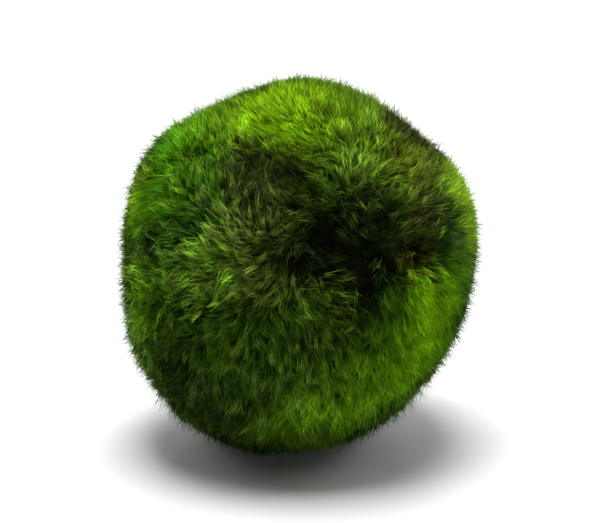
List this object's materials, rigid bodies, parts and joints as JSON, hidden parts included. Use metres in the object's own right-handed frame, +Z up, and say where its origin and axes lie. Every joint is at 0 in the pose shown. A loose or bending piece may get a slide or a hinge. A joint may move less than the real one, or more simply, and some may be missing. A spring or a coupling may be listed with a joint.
{
  "type": "marimo moss ball",
  "caption": "Ball of matted green filamentous algae with a short combed pile, a little taller than wide, resting on a small flat spot pressed by its own weight.",
  "frame": {"origin": "on the surface that the ball rests on, under the middle of its outline", "axes": "+Z up from that surface, +X to the right and -Y towards the viewer"},
  "size_m": [0.0418, 0.0424, 0.0428],
  "materials": {
    "moss": "matt, damp mat of fine green filaments, yellow-green at the tips and nearly black between the tufts"
  },
  "bodies": {
    "root": {"moss_ball": "moss"}
  },
  "joints": []
}
